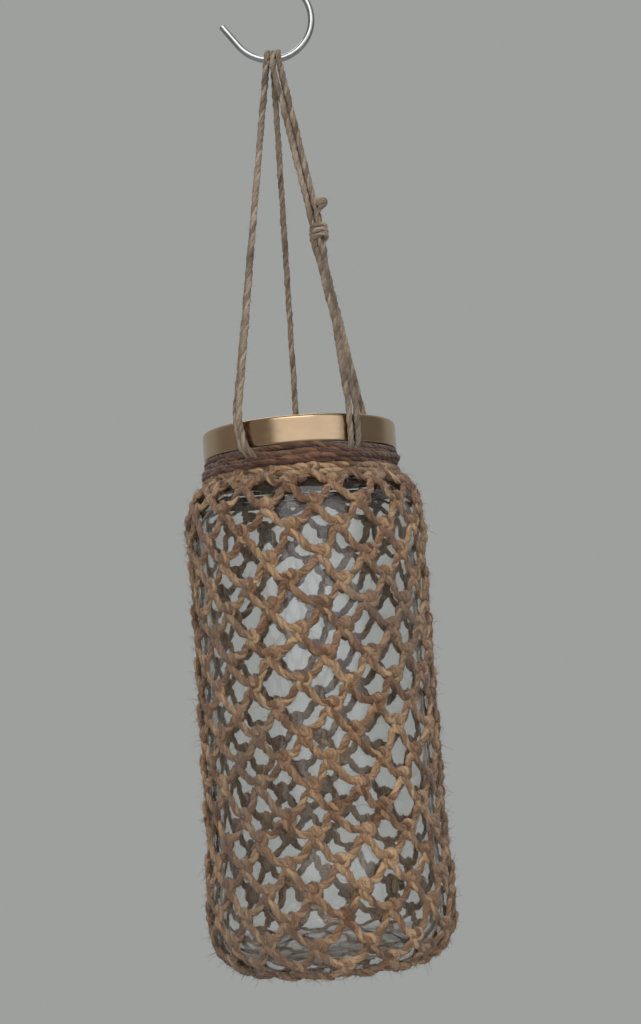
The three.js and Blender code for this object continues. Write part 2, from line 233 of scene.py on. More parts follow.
def twine(line, diameter, lay, rng, plies=3, sides=8, outwards=None, flat=1.0):
    """A laid twine along a line, as new_mesh takes it. Its plies wind round each other once in each lay.

    outwards gives a direction for each place on the line, in which the twine is only flat times as thick.
    fibre holds (along, across, across) in millimetres for the streaks of fibre; groove is 0 deep between
    the plies and 1 on the outside, and sets the painted shade in the grooves; tone is a slow change of colour
    along each ply.
    """
    _, normal, binormal = frames(line)
    s = distances(line)
    ply_radius = diameter * PLY_SHARE
    n = len(line)
    parts = []
    around = 2 * np.pi * np.arange(sides) / sides
    for ply in range(plies):
        turn = 2 * np.pi * (s / lay + ply / plies)
        marks = np.arange(0, s[-1] + 9, WANDER_STEP)
        wander = 1 + PLY_WANDER * np.interp(s, marks, rng.normal(0, 1, len(marks)))
        centre = line + (diameter / 2 - ply_radius) * across(turn, normal, binormal)
        ridges = rng.normal(0, 1, (n, sides))
        ridges = (np.roll(ridges, 1, 0) + 2 * ridges + np.roll(ridges, -1, 0)) / 4
        radius = ply_radius * wander[:, None] * (1 + PLY_RIDGES * ridges)
        angle = turn[:, None] * PLY_TURN + around[None, :]
        ways = across(angle, normal[:, None, :], binormal[:, None, :])
        point = centre[:, None, :] + radius[:, :, None] * ways
        if outwards is not None:
            height = np.einsum("nsk,nk->ns", point - line[:, None, :], outwards)
            point = point - (1 - flat) * height[:, :, None] * outwards[:, None, :]
        marks = np.arange(0, s[-1] + 30, TONE_STEP)
        tone = np.interp(s, marks, rng.random(len(marks)))
        fibre = np.empty((n, sides, 3))
        fibre[..., 0] = s[:, None] + 31.0 * ply
        fibre[..., 1] = ply_radius * np.cos(around)
        fibre[..., 2] = ply_radius * np.sin(around)
        attributes = {
            "fibre": fibre.reshape(-1, 3),
            "groove": (0.5 + 0.5 * np.cos(angle - turn[:, None])).ravel(),
            "tone": np.repeat(tone, sides),
        }
        parts.append((point.reshape(-1, 3), ring_faces(n, sides), attributes))
    return joined(parts)


HAIR_POINTS = 5
HAIR_CORNERS = (0, 2.094, 4.189)
HAIR_SIDES = len(HAIR_CORNERS)
QUARTER_TURN = 1.57


def fuzz(lines, per_mm, reach, rng, twine_radius, along=0.9, thickness=0.05):
    """Loose fibres of twines: thin curved hairs, each a closed body. along is how far they lie down."""
    parts = []
    faces = ring_faces(HAIR_POINTS, HAIR_SIDES)
    t = np.linspace(0, 1, HAIR_POINTS)[:, None]
    for line in lines:
        tangent, normal, binormal = frames(line)
        for _ in range(rng.poisson(length_of(line) * per_mm)):
            i = rng.integers(1, len(line) - 1)
            a = rng.random() * 2 * np.pi
            out = math.cos(a) * normal[i] + math.sin(a) * binormal[i]
            side = math.cos(a + QUARTER_TURN) * normal[i] + math.sin(a + QUARTER_TURN) * binormal[i]
            lean = rng.normal(0, along)
            long = reach * (0.35 + 0.9 * rng.random() ** 2)
            start = line[i] + out * twine_radius * 0.6
            way = out + tangent[i] * lean + side * rng.normal(0, 0.5)
            way /= np.linalg.norm(way)
            curl = np.cross(way, rng.normal(0, 1, 3))
            curl /= np.linalg.norm(curl) + 1e-9
            hair = start + long * (way * t + curl * (t**2) * rng.normal(0, 0.35))
            thick = thickness * (1.15 - 0.8 * t)
            u = np.cross(way, [0.3, 0.5, 0.81])
            u /= np.linalg.norm(u)
            v = np.cross(way, u)
            corners = [hair + thick * (math.cos(b) * u + math.sin(b) * v) for b in HAIR_CORNERS]
            attributes = {
                "fibre": np.repeat(hair, HAIR_SIDES, 0),
                "groove": np.full(HAIR_POINTS * HAIR_SIDES, 0.9),
                "tone": np.full(HAIR_POINTS * HAIR_SIDES, rng.random()),
            }
            parts.append((np.stack(corners, 1).reshape(-1, 3), faces, attributes))
    return joined(parts)


# ---------------- hanging cords


def swung(index, y, below_wire):
    """A point of a cord at the hook: y from the wire's plane, and how far under the wire's centreline."""
    angle = index * BIGHT_PITCH / HOOK_RADIUS
    reach = HOOK_RADIUS + below_wire
    return np.array([reach * math.sin(angle), y, LOWER_LOOP - reach * math.cos(angle)])


def over_the_wire(index):
    """A bight: up in front of the hook's wire, over it and down behind it."""
    turn = [
        swung(index, BIGHT_RADIUS * math.cos(a), -BIGHT_RADIUS * math.sin(a))
        for a in np.linspace(math.pi, 0, 7)
    ]
    return [swung(index, -BIGHT_RADIUS, BIGHT_LEG), *turn, swung(index, BIGHT_RADIUS, BIGHT_LEG)]


def down_the_skirt(azimuth, over=0.0, lean=0.0):
    """Past the lid's rim, down its skirt, over the first turn of the winding and in under the others.

    over lifts the cord to lie on its neighbour. lean is how far round it moves to its tuck, in degrees.
    """
    # Radius, height over the lid's top, and share of the lean
    stations = (
        (RIM_PASS + 0.05 + over, 2.2, 0.0),
        (RIM_PASS + over, -2.5, 0.05),
        (RIM_PASS + over, -9.4, 0.3),
        (37.5 + 0.8 * over, -11.9, 0.55),
        (36.0 + 0.5 * over, -14.3, 0.85),
        (35.4, -17.6, 1.0),
    )
    return [polar(azimuth + lean * share, radius, z) for radius, z, share in stations]


def straight(start, end, count):
    """Points between two ends."""
    shares = np.linspace(0, 1, count + 2)[1:-1]
    return [start + (end - start) * t for t in shares]


# The knot sits half-way down the right-hand bundle. Its strands enter and leave it at corners of a triangle
KNOT_HALF = 2.6
KNOT_ABOVE = ((1.3, -0.6), (-0.1, 1.4), (-1.2, -0.8))
KNOT_BELOW = ((-1.3, -0.9), (0.5, -1.3), (1.7, 0.9))
KNOT_SHIFT = np.array([0.8, 0, 1.4])
knot_place = KNOT_SHIFT + [0, 0, LID_TOP + DROP / 2] + sum(
    (polar(azimuth, 38.6, 0) - [0, 0, LID_TOP]) / 6 for azimuth in RIGHT_ANCHORS
)


def through_the_knot(k):
    """The two places where a strand of the right-hand bundle enters and leaves the knot."""
    return [knot_place + [*KNOT_ABOVE[k], KNOT_HALF], knot_place + [*KNOT_BELOW[k], -KNOT_HALF]]


def hanging_routes():
    """The three passes of the cord, each from its tuck under the winding, over the hook and down again."""
    outer = down_the_skirt(LEFT_ANCHORS[0], lean=LEFT_LEAN)
    inner = down_the_skirt(LEFT_ANCHORS[1], over=1.1, lean=LEFT_LEAN + 1)
    back = down_the_skirt(BACK_ANCHOR)
    right = [down_the_skirt(azimuth) for azimuth in RIGHT_ANCHORS]
    left, middle, last = (over_the_wire(index) for index in (-1, 0, 1))

    def by_the_knot(start, k, skirt):
        above, below = through_the_knot(k)
        return straight(start, above, 5) + [above, below] + straight(below, skirt[0], 6) + skirt

    def direct(start, skirt):
        return straight(start, skirt[0], 12) + skirt

    first = direct(left[0], inner)[::-1] + left + direct(left[-1], outer)
    second = by_the_knot(middle[0], 2, right[0])[::-1] + middle + direct(middle[-1], back)
    third = by_the_knot(last[0], 0, right[1])[::-1] + last + by_the_knot(last[-1], 1, right[2])
    return first, second, third


CORD_LAY = 10.5
CORD_THICK = 2.5  # over the crests of its plies: CORD is its width on average
KNOT_THICK = 0.85 * CORD_THICK  # pulled tight
STANDS_FOR = (
    ("hanger_left_inner", "bight_1", "hanger_left_outer"),
    ("hanger_right_lower_1", "hanger_right_upper_3", "bight_2", "hanger_back"),
    (
        "hanger_right_lower_2",
        "hanger_right_upper_1",
        "bight_3",
        "hanger_right_upper_2",
        "hanger_right_lower_3",
    ),
)


def knot_route():
    """The knot: an end wraps the bundle nearly three times, runs up beside it and ends in a small ball."""
    points = [knot_place + p for p in ([0.4, 3.4, -5.0], [1.0, 3.3, -3.6], [2.6, 2.4, -2.6])]
    turns, count = 2.7, 19
    for i in range(count):
        a = 0.3 - 2 * math.pi * turns * i / (count - 1)
        swell = 1 + 0.05 * math.sin(2.1 * i)
        height = -2.8 + 5.4 * i / (count - 1) + 1.1 * math.cos(a + 0.4) + 0.2 * math.sin(1.7 * i)
        points.append(knot_place + [0.7 + 2.75 * swell * math.cos(a), 2.6 * swell * math.sin(a), height])
    tail = ([0.9, -2.7, 3.4], [0.5, -2.6, 5.2], [0.8, -2.5, 7.2], [2.0, -2.5, 8.7], [3.6, -2.2, 10.0])
    ball = ([4.1, -1.3, 11.6], [2.8, -0.6, 12.7], [1.3, -1.4, 11.6], [1.8, -2.6, 10.2], [3.3, -3.1, 11.0])
    return points + [knot_place + p for p in (*tail, *ball)]


def make_hanging_cords(rng):
    made, lines = [], []
    for number, (route, nodes) in enumerate(zip(hanging_routes(), STANDS_FOR), 1):
        line = smooth_path(route, 0.7)
        lines.append(line)
        piece = new_mesh(f"hanging_cord_{number}", *twine(line, CORD_THICK, CORD_LAY, rng))
        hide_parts(*nodes)
        made.append(piece)
    knot_line = smooth_path(knot_route(), 0.6)
    knot = new_mesh("hanging_knot", *twine(knot_line, KNOT_THICK, CORD_LAY, rng))
    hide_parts("hanger_knot", "knot_tail_1", "knot_tail_2")
    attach(knot, "lantern")
    for piece, line in zip(made, lines):
        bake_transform(piece)
    return made, knot, lines, knot_line


rng = np.random.default_rng(SEED)
cords, knot, cord_lines, knot_line = make_hanging_cords(rng)

# ---------------- glass profile

# Repeated from the part's source, with heights over the lid's top
FINISH_RADIUS, BORE_RADIUS, NECK_RADIUS = 33.3, 30.6, 34.2
RIM_TOP, NECK_BOTTOM = -2.0, -19.6
FOOT_RADIUS = 31.0
THREAD_CREST, THREAD_START = 34.6, -7.0
THREAD_RISE = 0.0402  # in a degree
THREAD_FROM, THREAD_TO = -5.0, 42.0  # degrees
FLOOR_Z, FLOOR_RISE, PUSH_UP = -193.6, 2.4, 3.0
LUGS = 6


def bezier(points, count=24):
    """Points along a Bezier curve of any degree, without its first."""
    points = np.asarray(points, float)
    t = np.linspace(0, 1, count + 1)[1:, None]
    degree = len(points) - 1
    return sum(math.comb(degree, k) * (1 - t) ** (degree - k) * t**k * p for k, p in enumerate(points))


def softened(line, reach):
    """A line sampled evenly and rounded off over reach; its ends stay put."""
    step = 0.25
    line = even(np.asarray(line, float), step)
    half = int(reach / step)
    window = np.hanning(2 * half + 1)
    window /= window.sum()
    before, after = 2 * line[:1] - line[half:0:-1], 2 * line[-1:] - line[-2 : -half - 2 : -1]
    padded = np.concatenate([before, line, after])
    return np.stack([np.convolve(column, window, "valid") for column in padded.T], 1)


def outer_side():
    """The glass's outer side from the neck down to the foot, as radius and height over the lid's top."""
    neck = np.array([[NECK_RADIUS, -15.0], [NECK_RADIUS, NECK_BOTTOM]])
    shoulder_start = bezier([neck[-1], [34.2, -21.0], [35.2, -21.4]], 8)
    shoulder = bezier([shoulder_start[-1], [39, -22.2], [42.8, -28], [42.8, -38]])
    wall = np.array([[42.8, -44], [42.2, -52], [42.2, -152], [43.5, -168], [43.5, -181]])
    heel = bezier([wall[-1], [43.5, -190], [37.5, BASE], [FOOT_RADIUS, BASE]])
    return softened(np.concatenate([neck, shoulder_start, shoulder, wall, heel]), 2.0)


# ---------------- net

NET_STITCHES = 16
STITCH = 360 / (NET_STITCHES - 0.5)
ROW_PITCH = 9.0
HEADING_Z = -19.9
WIDE = 44.0  # the radius inside which the rows close up
LAST_ROW_RADIUS = 21.0
DRAWSTRING_RADIUS = 7.0
NET_THICK = 3.15
NET_FLAT = 0.64  # of its thickness is left where it is pressed to the glass
NET_LAY = 9.5
KNOT_SIZE = 0.76  # of the drawn hitch below
KNOT_RISE = 0.62  # of its height over the glass
BAR = 0.2  # how far a loop's lowest part stands out, in twine diameters
# A half hitch round the loop above it, in twine diameters: to the right, down, and outwards from the glass
HITCH = (
    (-1.1, 1.1, 0.02),
    (0.1, 0.95, 0.1),
    (0.75, 0.35, 0.38),
    (0.7, -0.3, 0.52),
    (0.2, -0.85, 0.4),
    (-0.4, -0.7, 0.06),
    (-0.55, 0.0, -0.04),
    (-0.5, 0.65, 0.12),
    (-0.1, 1.15, 0.46),
    (0.7, 1.65, 0.3),
)


class NetSurface:
    """What the twine's centre lies on, from the heading cord down the glass and in under the base."""

    def __init__(self):
        side = outer_side()
        side = side[side[:, 1] <= HEADING_Z]
        under = np.array([[r, BASE] for r in np.linspace(FOOT_RADIUS - 0.5, 4, 60)])
        line = softened(np.concatenate([side, under]), 3.0)
        along = np.gradient(line, axis=0)
        along /= np.linalg.norm(along, axis=1)[:, None]
        self.normal = np.column_stack([-along[:, 1], along[:, 0]])
        self.line = line + self.normal * (NET_THICK * NET_FLAT / 2 + 0.05)
        self.s = distances(self.line)

    def radius(self, s):
        return float(np.interp(s, self.s, self.line[:, 0]))

    def at_radius(self, radius):
        """How far down the surface it comes in under the base to this radius."""
        lower = self.s > self.s[-1] / 2
        return float(np.interp(-radius, -self.line[lower, 0], self.s[lower]))

    def outwards(self, places):
        """The direction away from the glass at each of several places."""
        radii = np.hypot(places[:, 0], places[:, 1])
        near = [
            np.hypot(self.line[:, 0] - radius, self.line[:, 1] - z).argmin()
            for radius, z in zip(radii, places[:, 2] - LID_TOP)
        ]
        sideways = places[:, :2] / radii[:, None] * self.normal[near, :1]
        return np.column_stack([sideways, self.normal[near, 1]])

    def point(self, azimuth, s, out=0.0):
        """The place at an azimuth in degrees, a distance down the surface, and millimetres out from it."""
        radius, z = (float(np.interp(s, self.s, self.line[:, k])) for k in (0, 1))
        normal_r, normal_z = (float(np.interp(s, self.s, self.normal[:, k])) for k in (0, 1))
        return polar(azimuth, radius + out * normal_r, z + out * normal_z)


def net_knots(surface, rng):
    """Azimuth and distance down of each knot. The rows are one spiral, half a stitch over each time round."""
    azimuths, downs, ideal = [], [], []
    while True:
        m = len(azimuths)
        if m < NET_STITCHES:
            down = 0.0
        else:
            above = (ideal[m - NET_STITCHES] + ideal[m - NET_STITCHES + 1]) / 2
            shrink = min(1.0, 0.35 + 0.65 * surface.radius(above) / WIDE)
            down = above + ROW_PITCH * shrink
        if surface.radius(down) < LAST_ROW_RADIUS and down > surface.s[-1] / 2:
            return np.array(azimuths), np.array(downs)
        ideal.append(down)
        loose = 0.0 if m < NET_STITCHES else 1.0
        azimuths.append(180 + m * STITCH + rng.normal(0, 1.0))
        downs.append(down + loose * rng.normal(0, 0.75))


def net_route(surface, rng):
    """Every point that the net's one twine goes through, from the first hitch to the last loop."""
    azimuths, downs = net_knots(surface, rng)
    ring = surface.at_radius(DRAWSTRING_RADIUS)
    route = []
    for m, (azimuth, down) in enumerate(zip(azimuths, downs)):
        scale = NET_THICK * KNOT_SIZE * (1 + rng.normal(0, 0.05))
        lean = rng.normal(0, 0.12)
        per_degree = math.radians(surface.radius(down))
        hitch = []
        for u, v, n in HITCH:
            aside, below = (u + lean * v) * scale, (v - lean * u) * scale
            if m < NET_STITCHES:
                below = 1.5 * below + 0.4
                n += 0.35 * (below < 1.5)
            hitch.append((azimuth + aside / per_degree, down + below, n * NET_THICK * KNOT_RISE))
        if route:
            route += slack(route[-1], hitch[0])
        route += hitch
        if m + 1 == len(azimuths):
            break
        if m + NET_STITCHES < len(azimuths):
            low_azimuth, low = azimuths[m + NET_STITCHES] - 360, downs[m + NET_STITCHES]
        else:
            low_azimuth, low = (azimuth + azimuths[m + 1]) / 2, ring
        spread = 0.55 * NET_THICK / math.radians(surface.radius(low))
        bend = [
            (low_azimuth + side * spread, low - rise * NET_THICK, BAR * NET_THICK)
            for side, rise in ((-1, 0.42), (0, 0.05), (1, 0.42))
        ]
        route += slack(route[-1], bend[0]) + bend
    return [surface.point(*place) for place in route]


def slack(start, end):
    """Three places between the ends of a loop's side, which sags a little and lies on the glass."""
    places = []
    for share, sag in ((0.25, 1.0), (0.5, 1.6), (0.75, 1.35)):
        azimuth, down, out = (a + (b - a) * share for a, b in zip(start, end))
        places.append((azimuth, down + sag, 0.4 * out))
    return places


def make_net(rng):
    surface = NetSurface()
    line = smooth_path(net_route(surface, rng), 0.85)
    body = twine(line, NET_THICK, NET_LAY, rng, sides=7, outwards=surface.outwards(line), flat=NET_FLAT)
    net = new_mesh("knotted_net", *body)
    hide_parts("jute_net", "net_base")
    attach(net, "lantern")
    return surface, net, line


surface, net, net_line = make_net(rng)

# ---------------- neck winding, heading cord and drawstring

WRAP_TURNS = 4
WRAP_PITCH = 1.72
WRAP_THICK = 2.2
WRAP_LAY = 9.0
WRAP_TOP = -LID_HEIGHT - 0.35
WRAP_FROM = 170  # the azimuth of its first end
HEADING_THICK = 2.8
HEADING_LAY = 9.5
HEADING_FROM = 150
STEP_FROM = 0.86  # of a turn: where it starts to step down
OVER_OUT = 2.432  # how far the looser turns' middle stands out from the neck
BULGE, BULGE_HALF_WIDTH = 1.75, 2.6
TUCKS = (LEFT_ANCHORS[0] + LEFT_LEAN, LEFT_ANCHORS[1] + LEFT_LEAN, BACK_ANCHOR, *RIGHT_ANCHORS)


def bulge(azimuth):
    """How far the winding stands out where it passes over the tucked cords."""
    near = [((azimuth - tuck + 180) % 360 - 180) * math.radians(NECK_RADIUS) for tuck in TUCKS]
    return BULGE * max(math.exp(-((d / BULGE_HALF_WIDTH) ** 2)) for d in near)


def wrap_route(rng):
    """Turns of cord round the neck, each level until it steps down to the next behind. Both ends tuck in."""
    points, per_turn = [], 40
    count = per_turn * WRAP_TURNS
    stray = rng.normal(0, 0.5, count + 1)
    stray = np.convolve(stray, np.hanning(7) / np.hanning(7).sum(), "same") * 2.0
    for i in range(count + 1):
        turn = i / per_turn
        azimuth = WRAP_FROM + 360 * turn
        level = math.floor(turn) + float(smooth_step((turn % 1 - STEP_FROM) / (1 - STEP_FROM)))
        over = 0.15 if level < 0.8 else bulge(azimuth)
        tuck = 1.2 * max(0.0, 1 - min(i, count - i) / 3)
        out = NECK_RADIUS + WRAP_THICK / 2 + 0.1 + over + 0.25 * abs(stray[i]) - tuck
        z = WRAP_TOP - WRAP_THICK / 2 - WRAP_PITCH * level + stray[i]
        points.append(polar(azimuth, out, z))
    return points


def over_route(rng):
    """A looser turn and a half that lies over the others, rising and falling round the neck."""
    points = []
    count = 60
    for i in range(count + 1):
        azimuth = 200 + 540 * i / count
        inwards = 1.1 * max(0.0, 1 - min(i, count - i) / 3)
        out = NECK_RADIUS + OVER_OUT + 0.6 * bulge(azimuth) - inwards
        z = WRAP_TOP - 4.2 + 2.0 * math.sin(math.radians(azimuth * 0.8 + 40)) + rng.normal(0, 0.12)
        points.append(polar(azimuth, out, z))
    return points


def make_winding(rng):
    lines = [smooth_path(wrap_route(rng), 0.8), smooth_path(over_route(rng), 0.8)]
    winding = new_mesh("neck_winding", *joined([twine(line, WRAP_THICK, WRAP_LAY, rng) for line in lines]))
    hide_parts("neck_wrap")
    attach(winding, "lantern")
    return winding, lines


def make_heading(rng):
    """The twine that the net hangs on: twice round the neck, the second round close under the first."""
    points = []
    for a in np.arange(0, 726, 6):
        round_down = float(smooth_step((a - 335) / 50))
        tuck = 1.2 * max(0.0, 1 - min(a, 720 - a) / 12)
        out = NECK_RADIUS + HEADING_THICK / 2 + 0.15 + 0.75 * round_down - tuck
        z = HEADING_Z + 1.1 - 2.4 * round_down + 0.25 * math.sin(math.radians(3 * a))
        points.append(polar(a + HEADING_FROM, out, z))
    line = smooth_path(points, 0.8)
    heading = new_mesh("heading_twine", *twine(line, HEADING_THICK, HEADING_LAY, rng))
    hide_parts("heading_cord")
    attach(heading, "lantern")
    return heading, line


BASE_KNOT_AT = 215  # azimuth
DRAWSTRING_THICK, DRAWSTRING_LAY = 1.8, 5.6
TIED_THICK, TIED_LAY = 1.7, 5.0


def make_drawstring(rng):
    """The ring that gathers the last loops, and the knot that its ends are tied in."""
    depth = BASE - NET_THICK * NET_FLAT * 1.4 - 0.6
    azimuths = BASE_KNOT_AT + np.linspace(12, 348, 31)
    ring = smooth_path(polar(azimuths, DRAWSTRING_RADIUS, depth), 0.7)
    place = polar(BASE_KNOT_AT, DRAWSTRING_RADIUS, depth)
    outward = (place - [0, 0, place[2]]) / DRAWSTRING_RADIUS
    side = np.array([-outward[1], outward[0], 0])
    down = np.array([0, 0, -1.0])
    loop = []
    for share in np.linspace(0, 1, 19):
        a = 2 * math.pi * 1.75 * share
        middle = place + side * (1.2 - 2.4 * share)
        loop.append(middle + 1.25 * (math.cos(a) * outward + 0.62 * math.sin(a) * down))
    first = [place + side * 2.6 + outward * 5.6 + down * 0.2, place + side * 2.2 + outward * 3.0 + down * 0.3]
    last = [place - side * 1.8 + outward * 2.6 + down * 0.3, place - side * 3.0 + outward * 6.2 + down * 0.1]
    knot_path = smooth_path(first + loop + last, 0.5)
    drawstring = new_mesh("drawstring_ring", *twine(ring, DRAWSTRING_THICK, DRAWSTRING_LAY, rng, 2, 7))
    tied = new_mesh("drawstring_knot", *twine(knot_path, TIED_THICK, TIED_LAY, rng, 2, 7))
    for piece, node in ((drawstring, "base_drawstring"), (tied, "base_knot")):
        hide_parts(node)
        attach(piece, "lantern")
    return drawstring, tied


winding, winding_lines = make_winding(rng)
heading, heading_line = make_heading(rng)
drawstring, drawstring_knot = make_drawstring(rng)


def make_fibres(rng):
    """Loose fibres that stand out of the net, the hanging cords, the winding and the heading."""
    standing = fuzz([net_line], 0.5, 2.2, rng, NET_THICK / 2)
    lying = fuzz([net_line], 1.2, 4.0, rng, NET_THICK / 2, along=3.0, thickness=0.08)
    net_fibres = new_mesh("net_fibres", *joined([standing, lying]))
    halves = []
    for line in (*cord_lines, knot_line):
        line = line[line[:, 2] < WIRE_Z - 12]
        gap = np.argmax(np.linalg.norm(np.diff(line, axis=0), axis=1))
        halves += [line[: gap + 1], line[gap + 1 :]] if 5 < gap < len(line) - 5 else [line]
    cord_fibres = new_mesh("cord_fibres", *fuzz(halves, 0.9, 2.4, rng, CORD_THICK / 2))
    round_neck = [*winding_lines, heading_line]
    wrap_fibres = new_mesh("winding_fibres", *fuzz(round_neck, 0.8, 2.2, rng, WRAP_THICK / 2))
    for piece, name in ((net_fibres, "jute_net"), (cord_fibres, "jute_cord"), (wrap_fibres, "jute_winding")):
        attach(piece, "lantern")
    return net_fibres, cord_fibres, wrap_fibres


net_fibres, cord_fibres, winding_fibres = make_fibres(rng)

# ---------------- jar, liner, lid


def lathe(profile, sides, move=None):
    """A closed profile of (radius, height) turned about Z. move(azimuth, profile) is added to the radii."""
    profile = np.asarray(profile, float)
    count = len(profile)
    azimuths = np.arange(sides) * 360 / sides
    radii = np.repeat(profile[None, :, 0], sides, 0)
    if move is not None:
        radii += np.array([move(azimuth, profile) for azimuth in azimuths])
    points = polar(azimuths[:, None], radii, profile[None, :, 1])
    index = np.arange(sides * count).reshape(sides, count)
    right = np.roll(index, -1, 0)
    down = np.roll(index, -1, 1)
    corner = np.roll(right, -1, 1)
    return points.reshape(-1, 3), np.stack([index, right, corner, down], -1).reshape(-1, 4)


def closed_on_axis(profile, sides, move=None):
    """lathe for a profile that starts and ends on the axis: its two ends become single points."""
    points, faces = lathe(profile[1:-1], sides, move)
    count = len(profile) - 2
    ring = np.arange(sides) * count
    closing = faces.reshape(sides, count, 4)[:, :-1].reshape(-1, 4)
    first, last = len(points), len(points) + 1
    ends = np.array([polar(0, 0, profile[0, 1]), polar(0, 0, profile[-1, 1])])
    after = np.roll(ring, -1)
    start_fan = np.stack([np.full(sides, first), after, ring], -1)
    end_fan = np.stack([np.full(sides, last), ring + count - 1, after + count - 1], -1)
    return np.concatenate([points, ends]), [closing, start_fan, end_fan]


def jar_profile():
    """From the middle of the base's underside, out and up the outside, over the rim and down the inside."""
    side = even(outer_side()[::-1], 0.6)
    high = BASE + PUSH_UP
    under = [[0, high], *bezier([[0, high], [21, high], [28, BASE]], 14), [29.5, BASE - 0.15]]
    neck = [[NECK_RADIUS, -11.6], [NECK_RADIUS, -10.9], [33.9, -10.3], [FINISH_RADIUS, -10.0]]
    finish = [[FINISH_RADIUS, z] for z in np.arange(-9.6, -3.0, 0.3)]
    rim = [
        *bezier([[FINISH_RADIUS, -3], [FINISH_RADIUS, RIM_TOP], [32.3, RIM_TOP]], 5),
        *bezier([[31.4, RIM_TOP], [BORE_RADIUS, RIM_TOP], [BORE_RADIUS, -2.8]], 5),
    ]
    bore = [[BORE_RADIUS, z] for z in np.linspace(-4, NECK_BOTTOM, 8)]
    shoulder = [bore[-1], [BORE_RADIUS, -24.3], [36.2, -24.2], [38.6, -28.4], [40.0, -32], [40.1, -38]]
    wall = [[40.0, -44], *[[39.6, z] for z in np.linspace(-53, -152, 36)], [40.2, -160], [40.7, -168]]
    heel = [[40.8, -178], [40.8, -188], [36.5, FLOOR_Z], [29, FLOOR_Z]]
    floor = [[29, FLOOR_Z], [15.5, FLOOR_Z + FLOOR_RISE], [0, FLOOR_Z + FLOOR_RISE]]
    inside = [*bezier(shoulder, 40), *wall, heel[0], *bezier(heel, 36), *bezier(floor, 24)]
    return np.array([*under, *side, *neck, *finish, *rim, *bore, *inside])


def thread_bump(azimuth, profile):
    """The finish's six slanting ridges, as an addition to the profile's radius."""
    turn = (azimuth - THREAD_FROM + 10) % (360 / LUGS) + THREAD_FROM - 10
    middle = THREAD_START + THREAD_RISE * turn
    fade = smooth_step((turn - THREAD_FROM + 2) / 6) * smooth_step((THREAD_TO + 2 - turn) / 8)
    outside = (profile[:, 0] > FINISH_RADIUS - 0.01) & (profile[:, 1] > -10.2)
    bump = np.exp(-(((profile[:, 1] - middle) / 0.75) ** 2))
    return outside * bump * fade * (THREAD_CREST - FINISH_RADIUS)


def make_jar():
    jar = new_mesh("clear_jar", *closed_on_axis(jar_profile(), 192, thread_bump))
    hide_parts("glass_jar")
    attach(jar, "lantern")
    return jar


LID_SHEET = 0.5
PANEL_RADIUS = 29.6
PANEL_DROP = 0.8
LUG_INNER = 33.75
BUTTON_TOP, BUTTON_FOOT, BUTTON_HEIGHT = 11.0, 12.5, 0.3


def lid_profile():
    """From the middle of the underside, out and down inside, round the curl, up the skirt and back in."""
    inner = LID_RADIUS - LID_SHEET
    edge, panel, button = -LID_HEIGHT, -PANEL_DROP, -PANEL_DROP + BUTTON_HEIGHT
    below = [
        [0, button - LID_SHEET],
        [BUTTON_TOP, button - LID_SHEET],
        [BUTTON_FOOT, panel - LID_SHEET],
        [PANEL_RADIUS, panel - LID_SHEET],
        [PANEL_RADIUS + 1.6, -LID_SHEET],
        [inner - 1, -LID_SHEET],
        *bezier([[inner - 1, -LID_SHEET], [inner, -LID_SHEET], [inner, -LID_SHEET - 1]], 4),
    ]
    down = [[inner, z] for z in np.linspace(-2.2, -8.2, 9)]
    curl = [
        *bezier([[inner, -8.7], [inner - 1, -9.1], [inner - 1, -9.7]], 5),
        *bezier([[inner - 1, -9.7], [inner - 0.8, edge], [inner - 0.1, edge]], 4),
        *bezier([[inner - 0.1, edge], [LID_RADIUS, edge], [LID_RADIUS, -9.5]], 5),
    ]
    skirt = [[LID_RADIUS, z] for z in np.linspace(-9.1, -2.2, 12)]
    top = [
        *bezier([[LID_RADIUS, -1.6], [LID_RADIUS, 0], [LID_RADIUS - 1.6, 0]], 8),
        *bezier([[PANEL_RADIUS + 3, 0], [PANEL_RADIUS + 1.2, 0], [PANEL_RADIUS + 0.4, panel]], 6),
        [PANEL_RADIUS - 0.3, panel - 0.05],
        *[[r, panel] for r in (28.5, 24, 20, 16, 13.5)],
        *bezier([[BUTTON_FOOT, panel], [12, panel], [11.6, button], [BUTTON_TOP, button]], 5),
        [8, button + 0.05],
        [4, button + 0.1],
        [0, button + 0.1],
    ]
    return np.array([*below, *down, *curl, *skirt, *top])


def lug_press(azimuth, profile):
    """Where a lug is pressed in, the curl's inner side reaches under the thread."""
    turn = (azimuth + 180 / LUGS) % (360 / LUGS) - 180 / LUGS
    pressed = 1 - smooth_step((abs(turn) - 3.2) / 1.8)
    low = smooth_step((-8.3 - profile[:, 1]) / 0.5)
    inner = LID_RADIUS - LID_SHEET
    inwards = np.clip((inner + 0.1 - profile[:, 0]) / 1.0, 0, 1)
    return -pressed * low * (inner - 1 - LUG_INNER) * inwards


def make_lid():
    lid = new_mesh("gold_lid", *closed_on_axis(lid_profile(), 288, lug_press))
    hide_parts("lid_shell")
    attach(lid, "lid")
    return lid


def make_liner():
    """The ring of sealing compound, with the groove that the glass rim has pressed into it."""
    outer = LID_RADIUS - LID_SHEET - 1
    bottom, top = RIM_TOP + 0.25, -LID_SHEET - 0.3
    profile = [
        [BORE_RADIUS + 0.6, bottom + 0.5],
        [BORE_RADIUS + 0.9, bottom + 0.05],
        *[[31.8 + 1.5 * t, bottom + 0.22 * math.sin(math.pi * t)] for t in np.linspace(0, 1, 7)],
        [34.3, bottom - 0.05],
        [outer - 0.2, bottom + 0.1],
        [outer, bottom + 0.4],
        [outer, top],
        [32.5, top],
        [31.9, bottom + 0.9],
    ]
    points, faces = lathe(profile, 144)
    liner = new_mesh("compound_ring", points, [faces])
    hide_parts("lid_liner")
    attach(liner, "liner")
    return liner


jar = make_jar()
lid = make_lid()
liner = make_liner()

